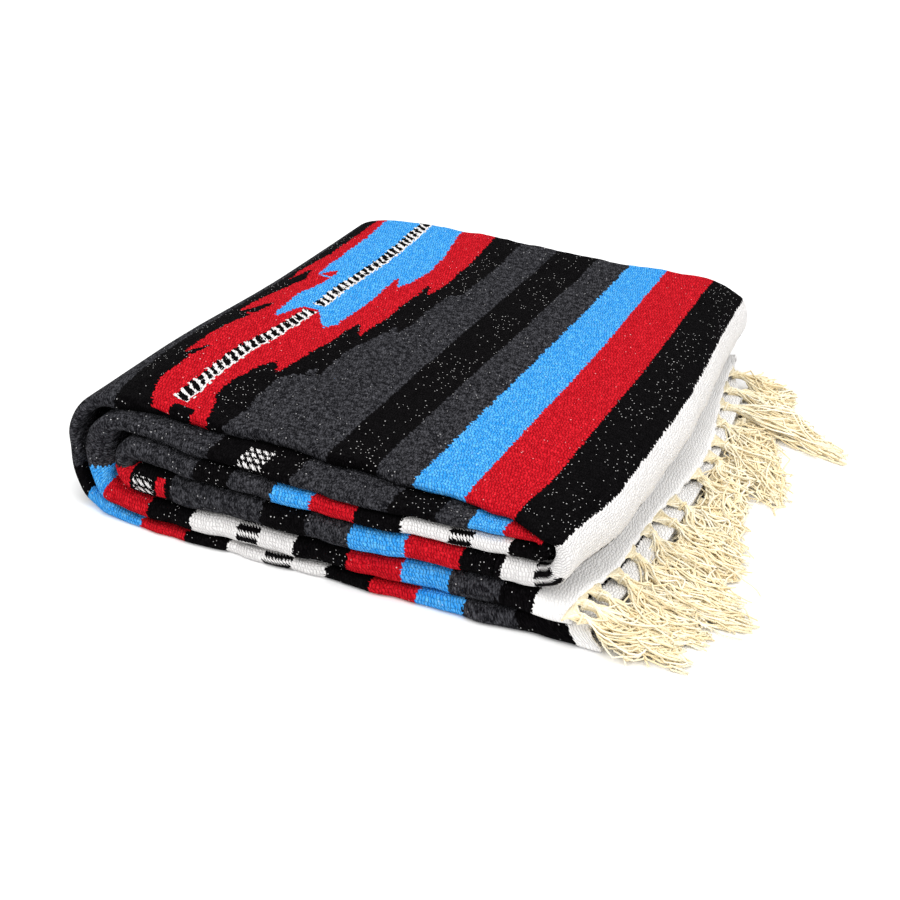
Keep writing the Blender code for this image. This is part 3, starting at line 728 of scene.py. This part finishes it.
weave = {
    "weft": 0.0020,  # pitch of the stitches along the strip
    "warp": 0.0027,  # pitch of the ribs across it
    "lean": 0.55, "ribStep": 0.2,
    "looseScale": 210.0, "looseRib": 0.75, "looseRow": 1.7,  # how stitches stray from an even grid
    "crownPower": 0.75, "bellyPower": 0.28,  # how flat a stitch is along the strip and across it
    # pitRim: where the painted shade between stitches ends; crownLight: the painted highlight on a stitch's
    # crown
    "pitRim": 0.75, "crownLight": 1.04,
    "edgeKeep": 0.85, "edgeWaver": 0.0011,
    "barPitch": 0.0072, "barLean": 0.34, "barGap": 0.15,
    "tickPitch": 0.0050, "tickLean": 0.3, "tickGaps": (0.35, 0.45),
    "fibreScale": (1500.0, 520.0, 1.0), "fibreRoughness": 0.65, "patchScale": 300.0,
    "lightShare": 0.34, "fibreShare": 4.2, "patchShare": 2.4, "stitchShare": 0.45,
    "driftScale": 26.0, "drift": (0.40, 0.66, 0.12, 1.0),
    "fleckShare": 0.26, "fleckStray": 0.6, "fleckSize": (0.14, 0.36),  # in millimetres
    "fleckColour": (0.62, 0.61, 0.60, 1.0),
    "stitchHigh": 0.00062, "fibreHigh": 0.45,
    "finish": {"Roughness": 0.95, "Specular IOR Level": 0.02, "Sheen Weight": 0.004, "Sheen Roughness": 0.5},
}


def put(tree, kind, inputs=None, **settings):
    made = tree.nodes.new(kind)
    for name, value in settings.items():
        setattr(made, name, value)
    for key, value in (inputs or {}).items():
        if isinstance(value, bpy.types.NodeSocket):
            tree.links.new(value, made.inputs[key])
        else:
            made.inputs[key].default_value = value
    return made


# Sums of sockets and numbers, in the node tree that holds the sockets
def calc(operation, *values):
    tree = next(value for value in values if isinstance(value, bpy.types.NodeSocket)).id_data
    return put(tree, "ShaderNodeMath", dict(enumerate(values)), operation=operation).outputs[0]


add, minus, times, over = (partial(calc, kind) for kind in ("ADD", "SUBTRACT", "MULTIPLY", "DIVIDE"))
timesAdd, fract = partial(calc, "MULTIPLY_ADD"), partial(calc, "FRACT")
above, below = partial(calc, "GREATER_THAN"), partial(calc, "LESS_THAN")


def within(value, low, high):
    return times(above(value, low), below(value, high))


def rescale(value, low, high, least=0.0, most=1.0):
    inputs = dict(enumerate((value, low, high, least, most)))
    return put(value.id_data, "ShaderNodeMapRange", inputs).outputs[0]


def noise(place, scale, detail=3.0, roughness=0.5):
    inputs = {"Vector": place, "Scale": scale, "Detail": detail, "Roughness": roughness}
    return put(place.id_data, "ShaderNodeTexNoise", inputs).outputs[0]


# One number or the other, or one colour or the other, by a share from 0 to 1
def choose(share, before, after):
    return put(share.id_data, "ShaderNodeMix", {0: share, 2: before, 3: after}, data_type="FLOAT").outputs[0]


def chooseColour(share, before, after):
    return put(share.id_data, "ShaderNodeMix", {0: share, 6: before, 7: after}, data_type="RGBA").outputs[2]


# A ramp over low to high, whose stops are (place, grey or colour)
def steppedRamp(value, low, high, stops, interpolation="CONSTANT"):
    made = put(value.id_data, "ShaderNodeValToRGB", {0: rescale(value, low, high)})
    made.color_ramp.interpolation = interpolation
    elements = made.color_ramp.elements
    while len(elements) > 1:
        elements.remove(elements[-1])
    for k, (place, shade) in enumerate(stops):
        position = min(1.0, max(0.0, (place - low) / (high - low)))
        element = elements[0] if k == 0 else elements.new(position)
        element.position = position
        element.color = (*shade, 1.0) if isinstance(shade, tuple) else (shade, shade, shade, 1.0)
    return made.outputs[0]


def numberOf(name):
    return yarns[name]["number"] / chartScale


def yarnRamp(number, key):
    stops = [((yarn["number"] - 0.5) / chartScale, yarn[key]) for yarn in yarns.values()]
    return steppedRamp(number, 0.0, 1.0, stops)


# The yarn's number along the strip, from (place, yarn) rows in order; a long chart takes several ramps
def stripeChart(u, stripes, low, high, most=28):
    stops = [(place, numberOf(name)) for place, name in stripes]
    chart = steppedRamp(u, low, high, stops[:most])
    for k in range(most, len(stops), most):
        chart = choose(above(u, stops[k][0]), chart, steppedRamp(u, low, high, stops[k:k + most]))
    return chart


# A new material with the two places of the piece's own UV map
def newWeave(name):
    material = bpy.data.materials.new(name)
    material.use_nodes = True
    tree = material.node_tree
    place = put(tree, "ShaderNodeUVMap", uv_map="weave").outputs[0]
    split = put(tree, "ShaderNodeSeparateXYZ", {0: place})
    return material, tree, split.outputs[0], split.outputs[1], place


# Joins the colour and the relief to the shader, and sets its finish
def finishShader(tree, colour, height, strength, distance, finish):
    shader = tree.nodes["Principled BSDF"]
    raised = put(tree, "ShaderNodeBump", {"Strength": strength, "Distance": distance, "Height": height})
    tree.links.new(colour, shader.inputs["Base Color"])
    tree.links.new(raised.outputs[0], shader.inputs["Normal"])
    for name, value in finish.items():
        shader.inputs[name].default_value = value


# The weave, from the cloth's own UV map in metres: its stripes, figures, stitches and fibres
def clothMaterial(name, stripes, low, high, motif=None, checkV=0.0, relief=1.0):
    material, tree, u, v, place = newWeave(name)

    # Stitches: each rib's stitches stand a little off its neighbour's, and lean
    loose = minus(noise(place, weave["looseScale"]), 0.5)
    ribs = timesAdd(loose, weave["looseRib"], over(v, weave["warp"]))
    rib = calc("FLOOR", ribs)
    inRib = minus(fract(ribs), 0.5)
    rows = add(over(u, weave["weft"]), times(calc("FLOORED_MODULO", rib, 2.0), weave["ribStep"]))
    rows = timesAdd(inRib, weave["lean"], rows)
    rows = timesAdd(loose, weave["looseRow"], rows)
    row = calc("FLOOR", rows)
    inRow = minus(fract(rows), 0.5)
    cell = put(tree, "ShaderNodeCombineXYZ", {0: row, 1: rib}).outputs[0]
    chance = put(tree, "ShaderNodeTexWhiteNoise", {0: cell}, noise_dimensions="2D").outputs[0]
    crown = calc("POWER", calc("COSINE", times(inRow, math.pi)), weave["crownPower"])
    belly = calc("POWER", calc("COSINE", times(inRib, math.pi)), weave["bellyPower"])
    pillow = times(crown, belly)

    # The chart is read at the stitch's own place, so colours change along its ragged edge
    jitter = minus(chance, 0.5)
    chartU = timesAdd(inRow, -weave["edgeKeep"] * weave["weft"], u)
    chartU = timesAdd(jitter, weave["edgeWaver"], chartU)
    chartV = timesAdd(inRib, -weave["edgeKeep"] * weave["warp"], v)
    number = stripeChart(chartU, stripes, low, high)
    if motif:
        number = motif(number, chartU, chartV, u, v, jitter)

    # A check: black bars across the strip's front, with white ticks between them
    isCheck = calc("COMPARE", number, numberOf("check"), 0.02)
    bar = timesAdd(inRow, weave["barLean"], over(minus(v, checkV), weave["barPitch"]))
    fromGap = calc("ABSOLUTE", minus(fract(add(bar, 0.5)), 0.5))
    number = choose(times(isCheck, below(fromGap, weave["barGap"])), number, numberOf("white"))

    # Ticks: a lattice of short white stitches on black
    isTicks = calc("COMPARE", number, numberOf("ticks"), 0.02)
    down = fract(timesAdd(inRow, weave["tickLean"], over(v, weave["tickPitch"])))
    beside = fract(add(over(u, weave["tickPitch"]), down))
    tick = times(above(down, weave["tickGaps"][0]), above(beside, weave["tickGaps"][1]))
    number = choose(times(tick, isTicks), number, numberOf("white"))

    # Fibres run along the weft; they mottle each yarn at three scales
    stretched = put(tree, "ShaderNodeVectorMath", {0: place, 1: weave["fibreScale"]}, operation="MULTIPLY")
    fibre = minus(noise(stretched.outputs[0], 1.0, roughness=weave["fibreRoughness"]), 0.5)
    patch = minus(noise(place, weave["patchScale"]), 0.5)
    amount = timesAdd(fibre, weave["fibreShare"], weave["lightShare"])
    amount = timesAdd(patch, weave["patchShare"], amount)
    amount = timesAdd(jitter, weave["stitchShare"], amount)
    amount = put(tree, "ShaderNodeClamp", {0: amount}).outputs[0]
    colour = chooseColour(amount, yarnRamp(number, "main"), yarnRamp(number, "light"))

    # Painted shade: between stitches the colour is darkened to the yarn's pit share, and the crowns get a
    # slight painted highlight
    shade = rescale(pillow, 0.0, weave["pitRim"], yarnRamp(number, "pit"), weave["crownLight"])
    shaded = put(tree, "ShaderNodeVectorMath", {0: colour, "Scale": shade}, operation="SCALE").outputs[0]

    # White flecks of lint between stitches, in drifts
    drift = rescale(noise(place, weave["driftScale"], 2.0), *weave["drift"])
    other = put(tree, "ShaderNodeTexWhiteNoise", {0: cell}, noise_dimensions="3D").outputs[0]
    chosen = below(other, times(times(yarnRamp(number, "fleck"), drift), weave["fleckShare"]))
    nearU = times(inRow, weave["weft"] * 1000)
    aside = timesAdd(chance, weave["fleckStray"], -weave["fleckStray"] / 2)
    nearV = times(add(inRib, aside), weave["warp"] * 1000)
    near = calc("SQRT", add(times(nearU, nearU), times(nearV, nearV)))
    fleck = times(rescale(near, *weave["fleckSize"], 1.0, 0.0), chosen)
    final = chooseColour(fleck, shaded, weave["fleckColour"])
    height = timesAdd(fibre, weave["fibreHigh"], pillow)
    finishShader(tree, final, height, 1.0, weave["stitchHigh"] * relief, weave["finish"])
    return material


# The woven figure on the top: red and blue steps about a chain. Edges run from front to back as (V, U) rows
figure = {
    "v": (-0.2, 0.22),
    "u": (-0.2, -0.03),
    "charcoalLeft": ((-0.175, -0.1545), (-0.15, -0.1575), (-0.133, -0.1615), (-0.1, -0.1655),
        (-0.07, -0.1665), (0.000, -0.169), (0.2, -0.175)),
    "redLeft": ((-0.15, -0.1335), (-0.136, -0.141), (-0.122, -0.1462), (-0.0905, -0.146),
        (-0.0885, -0.1525), (-0.056, -0.1538), (-0.029, -0.1517), (-0.015, -0.1482), (-0.0143, -0.1606),
        (0.002, -0.162), (0.032, -0.1585), (0.045, -0.1567), (0.0565, -0.1535), (0.0574, -0.1648),
        (0.073, -0.167), (0.09, -0.1645), (0.132, -0.163), (0.166, -0.164), (0.2, -0.165)),
    "redRight": ((-0.158, -0.096), (-0.148, -0.0965), (-0.133, -0.1015), (-0.119, -0.1085),
        (-0.105, -0.1111), (-0.093, -0.1098), (-0.076, -0.1075), (-0.0752, -0.0931), (-0.047, -0.0894),
        (-0.026, -0.0871), (-0.003, -0.0855), (-0.0024, -0.0746), (0.011, -0.0735), (0.03, -0.072),
        (0.05, -0.073), (0.078, -0.071), (0.0785, -0.0638), (0.096, -0.0627), (0.13, -0.0626),
        (0.2, -0.068)),
    "blackRight": ((-0.175, -0.086), (-0.118, -0.0852), (-0.101, -0.0879), (-0.082, -0.0885),
        (-0.073, -0.0851), (-0.0665, -0.0783), (-0.066, -0.0694), (-0.03, -0.0712), (-0.012, -0.0682),
        (0.002, -0.0648), (0.012, -0.0622), (0.0125, -0.0531), (0.057, -0.053), (0.085, -0.05),
        (0.0855, -0.043), (0.13, -0.042), (0.2, -0.045)),
    "blueLeft": ((-0.01, -0.1366), (0.017, -0.1404), (0.033, -0.1419), (0.049, -0.139),
        (0.0685, -0.1373), (0.069, -0.1486), (0.099, -0.152), (0.148, -0.1536), (0.176, -0.1563),
        (0.2, -0.159)),
    "blueRight": ((-0.0045, -0.1006), (0.0025, -0.0958), (0.042, -0.0944), (0.066, -0.0952),
        (0.078, -0.096), (0.0785, -0.0888), (0.091, -0.0842), (0.115, -0.0822), (0.142, -0.085),
        (0.188, -0.0945)),
    "blueFront": ((-0.142, -0.01), (-0.1345, -0.007), (-0.1303, 0.01), (-0.1278, 0.0162),
        (-0.1178, 0.0165), (-0.109, 0.006), (-0.1006, -0.0048), (-0.08, -0.0048)),
    "chainFront": ((-0.136, -0.1226), (-0.096, -0.1252), (-0.057, -0.1252), (-0.021, -0.1213),
        (0.013, -0.1208)),
    "chainBack": ((0.023, -0.1207), (0.067, -0.1226), (0.109, -0.1212), (0.141, -0.1216),
        (0.205, -0.1262)),
    "chainWide": 0.0098,
    "rungPitch": 0.0072,
    "rungLean": 85.0,
    "legGap": (-0.1218, -0.108), "legGapBack": -0.1395,
    "legSplit": -0.115, "legLeftEnd": -0.1515, "legRightEnd": -0.157,
    "leftPart": (-0.22, -0.12), "rightFrom": -0.14, "top": (-0.19, -0.03),  # how far each ground reaches
    "chainStray": 0.0022, "rungStray": 0.0012, "rungGap": 0.38, "chainEdge": 0.0013,
}
# Where the ground shows between a step's point and the body: its yarn, its start and end, and its left and
# right edge at both
notches = (
    ("black", (-0.0885, -0.0725), (-0.1522, -0.1440), (-0.1452, -0.1430)),
    ("black", (-0.0143, 0.0070), (-0.1600, -0.1495), (-0.1475, -0.1470)),
    ("black", (0.0574, 0.0760), (-0.1645, -0.1592), (-0.1525, -0.1582)),
    ("black", (-0.0752, -0.0625), (-0.1072, -0.1020), (-0.0936, -0.1005)),
    ("black", (-0.0024, 0.0120), (-0.0852, -0.0835), (-0.0752, -0.0825)),
    ("black", (0.0785, 0.0925), (-0.0712, -0.0722), (-0.0645, -0.0712)),
    ("charcoal", (-0.0660, -0.0560), (-0.0790, -0.0765), (-0.0702, -0.0755)),
    ("charcoal", (0.0125, 0.0210), (-0.0625, -0.0605), (-0.0540, -0.0598)),
)
blueNotches = (
    ("red", (0.0690, 0.0815), (-0.1484, -0.1405), (-0.1373, -0.1390)),
    ("red", (0.0785, 0.0925), (-0.0962, -0.0972), (-0.0893, -0.0962)),
)


def topFigure(number, chartU, chartV, u, v, jitter):
    def edgeAt(rows, value, low, high, least, most):
        stops = [(place, (edge - least) / (most - least)) for place, edge in rows]
        return rescale(steppedRamp(value, low, high, stops, "LINEAR"), 0.0, 1.0, least, most)

    def sideOf(key):
        return edgeAt(figure[key], chartV, *figure["v"], *figure["u"])

    def cover(chart, mask, name):
        return choose(mask, chart, numberOf(name))

    def both(*masks):
        return reduce(times, masks)

    def cutNotches(chart, rows):
        for yarn, span, left, right in rows:
            sides = [rescale(chartV, *span, *side) for side in (left, right)]
            chart = cover(chart, both(within(chartU, *sides), within(chartV, *span)), yarn)
        return chart

    onTop = within(u, *figure["top"])
    number = cover(number, within(u, *figure["leftPart"]), "black")
    number = cover(number, within(chartU, figure["leftPart"][0], sideOf("charcoalLeft")), "charcoal")
    number = cover(number, both(within(chartU, figure["rightFrom"], sideOf("blackRight")), onTop), "black")
    legEnd = choose(below(chartU, figure["legSplit"]), figure["legRightEnd"], figure["legLeftEnd"])
    gap = both(within(chartU, *figure["legGap"]), below(chartV, figure["legGapBack"]))
    red = within(chartU, sideOf("redLeft"), sideOf("redRight"))
    red = both(red, above(chartV, legEnd), minus(1.0, gap), onTop)
    number = cutNotches(cover(number, red, "red"), notches)
    blueStart = edgeAt(figure["blueFront"], chartU, *figure["u"], *figure["v"])
    blue = both(within(chartU, sideOf("blueLeft"), sideOf("blueRight")), above(chartV, blueStart), onTop)
    number = cutNotches(cover(number, blue, "blue"), blueNotches)
    half = figure["chainWide"] / 2
    for key in ("chainFront", "chainBack"):
        middle = edgeAt(figure[key], v, *figure["v"], *figure["u"])
        aside = minus(timesAdd(jitter, figure["chainStray"], u), middle)
        inside = both(within(aside, -half, half), within(v, figure[key][0][0], figure[key][-1][0]), onTop)
        rung = over(timesAdd(jitter, figure["rungStray"], v), figure["rungPitch"])
        rung = timesAdd(aside, figure["rungLean"], rung)
        dark = both(above(fract(rung), figure["rungGap"]), below(aside, half - figure["chainEdge"]))
        number = cover(number, inside, "white")
        number = cover(number, both(inside, dark), "black")
    return number


# Tufts of a figure that come round the front of the strip inside: white ticks on black, and red beside
def innerFigure(number, chartU, chartV, *_):
    for stretch, ends, span, yarn in innerTufts:
        low, high = sorted(placeOn(innerRoute, stretch, x) for x in ends)
        number = choose(times(within(chartU, low, high), within(chartV, *span)), number, numberOf(yarn))
    return number


# The tufts: which stretch each is on, its ends along X, its start and end across, and its yarn
innerTufts = (
    (2, (-0.064, -0.048), (-0.0180, -0.0005), "ticks"),
    (4, (-0.1340, -0.1090), (-0.030, 0.030), "black"),
    (4, (-0.1310, -0.1190), (-0.0055, 0.0060), "ticks"),
    (4, (-0.1165, -0.1100), (-0.0080, 0.0050), "red"),
)


# Where each stripe ends, in the order of the strip, with its yarn: for each stretch, along its X or Z
rollTurn = placeOn(wrapRoute, 4, 0.129)  # on the underside of the roll
wrapEnds = (
    # The floor ply's white end takes the brighter copy of white, painted light
    (6, "x", ((0.1508, "litWhite"), (0.1196, "black"), (0.088, "charcoal"), (0.0575, "blue"), (0.031, "red"),
              (0.002, "black"), (-0.02, "white"), (-0.038, "check"), (-0.064, "white"), (-0.093, "black"),
              (-0.1235, "red"))),
    (7, "z", ((0.002, "blue"), (0.04, "black"))),
    (None, "u", ((-0.133, "charcoal"), (-0.018, "charcoal"), (0.014, "black"), (0.041, "charcoal"),
                 (0.073, "blue"), (0.107, "red"), (0.1425, "black"), (rollTurn - 0.0275, "white"),
                 (rollTurn - 0.0055, "check"))),
    (4, "x", ((0.112, "white"),)),
    (None, "u", ((9.0, "black"),)),
)
innerEnds = (
    (4, "x", ((0.083, "black"), (0.051, "red"), (0.018, "blue"), (-0.01, "charcoal"), (-0.043, "black"),
              (-0.104, "charcoal"), (-0.121, "black"))),
    (43, "z", ((0.031, "red"),)),
    (3, "x", ((-0.094, "charcoal"), (-0.07, "black"), (-0.042, "charcoal"), (-0.014, "blue"), (0.014, "red"),
              (0.044, "black"), (0.069, "white"), (0.085, "check"), (0.109, "white"))),
    (32, "z", ((0.044, "black"),)),
    (2, "x", ((0.107, "red"), (0.087, "blue"), (0.065, "charcoal"), (0.039, "black"), (-0.025, "charcoal"),
              (-0.084, "black"))),
    (25, "z", ((0.03, "charcoal"), (0.0155, "blue"))),
    (5, "x", ((-0.124, "red"), (-0.09, "black"), (-0.063, "white"), (-0.048, "check"), (-0.023, "white"),
              (0.01, "black"), (0.044, "red"), (0.075, "blue"), (0.107, "charcoal"))),
    (None, "u", ((9.0, "black"),)),
)


# The chart's rows, each with where its stripe starts; the first starts well before the strip
def stripesFrom(line, ends):
    rows, start = [], -9.0
    for stretch, axis, stripes in ends:
        for place, yarn in stripes:
            rows.append((start, yarn))
            start = place if stretch is None else placeOn(line, stretch, place, axis)
    return rows


def dress(piece, material, node):
    piece.data.materials.clear()
    piece.data.materials.append(material)
    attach(piece, "root")
    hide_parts(*node)


wrapStripes = stripesFrom(wrapRoute, wrapEnds)
wrapMaterial = clothMaterial("outerWrapWeave", wrapStripes, -0.62, 0.30, topFigure, -0.185)
dress(outerWrap, wrapMaterial, ["outer_wrap"])
innerEnd = float(innerRoute["u"][-1]) + 0.05
innerStripes = stripesFrom(innerRoute, innerEnds)
innerMaterial = clothMaterial("innerStripWeave", innerStripes, -0.05, innerEnd, innerFigure, 0.003)
dress(innerStrip, innerMaterial, ["hidden_layers"])
# The band's white is the brighter copy of white, painted light against the roll's shade
bandStripes = [(-9.0, "black"), (0.1315, "litWhite")]
bandMaterial = clothMaterial("endBandWeave", bandStripes, 0.08, 0.18, relief=0.5)
dress(endBand, bandMaterial, ["end_band"])

yarnLook = {
    "shades": ((0.0, (0.86, 0.71, 0.44)), (0.35, (0.92, 0.80, 0.54)), (0.7, (0.94, 0.85, 0.63)),
               (1.0, (0.96, 0.90, 0.74))),
    "lintScale": 190.0, "lintShare": 0.9,
    "twistPitch": 0.0019, "twistHigh": 0.00022,
    "finish": {"Roughness": 0.85, "Specular IOR Level": 0.25, "Sheen Weight": 0.15},
}


def fringeMaterial():
    material, tree, run, ownShade, _ = newWeave("fringeYarn")
    lint = noise(put(tree, "ShaderNodeTexCoord").outputs["Object"], yarnLook["lintScale"])
    shade = timesAdd(minus(lint, 0.5), yarnLook["lintShare"], ownShade)
    colour = steppedRamp(shade, 0.0, 1.0, yarnLook["shades"], "LINEAR")
    turns = times(over(run, yarnLook["twistPitch"]), 2 * math.pi)
    twist = timesAdd(calc("SINE", turns), 0.5, lint)
    finishShader(tree, colour, twist, 0.8, yarnLook["twistHigh"], yarnLook["finish"])
    return material


yarnMaterial = fringeMaterial()
dress(upperFringe, yarnMaterial, ["upper_fringe"])
dress(lowerFringe, yarnMaterial, ["lower_fringe"])
print("cloth and fringe dressed")

# The floor, the light and the background
studio = {
    "floorSize": 12.0,
    "floorColour": (0.93, 0.93, 0.93, 1.0),
    "world": (1.0, 1.0, 1.0, 1.0),
    "worldStrength": 0.88,
    "lamps": (
        {"name": "key", "place": (-0.9, -0.9, 1.6), "size": 1.2, "power": 11.0},
        {"name": "fill", "place": (1.3, -0.5, 0.8), "size": 1.6, "power": 10.0},
        {"name": "top", "place": (0.1, 0.3, 1.9), "size": 1.4, "power": 15.5},
    ),
}


def makeStudio():
    bpy.ops.object.select_all(action="DESELECT")
    bpy.ops.mesh.primitive_plane_add(size=studio["floorSize"], location=(0, 0, 0))
    floor = bpy.context.active_object
    floor.name = "floor"
    material = bpy.data.materials.new("floor")
    material.use_nodes = True
    shader = material.node_tree.nodes["Principled BSDF"]
    shader.inputs["Base Color"].default_value = studio["floorColour"]
    shader.inputs["Roughness"].default_value = 0.9
    floor.data.materials.append(material)
    world = bpy.data.worlds.new("studio")
    world.use_nodes = True
    background = world.node_tree.nodes["Background"]
    background.inputs[0].default_value = studio["world"]
    background.inputs[1].default_value = studio["worldStrength"]
    bpy.context.scene.world = world
    for lamp in studio["lamps"]:
        data = bpy.data.lights.new(lamp["name"], "AREA")
        data.energy = lamp["power"]
        data.size = lamp["size"]
        made = bpy.data.objects.new(lamp["name"], data)
        made.location = lamp["place"]
        made.rotation_euler = (-Vector(lamp["place"])).to_track_quat("-Z", "Y").to_euler()
        bpy.context.scene.collection.objects.link(made)
    bpy.context.scene.view_settings.view_transform = "Standard"


makeStudio()
print("studio set")
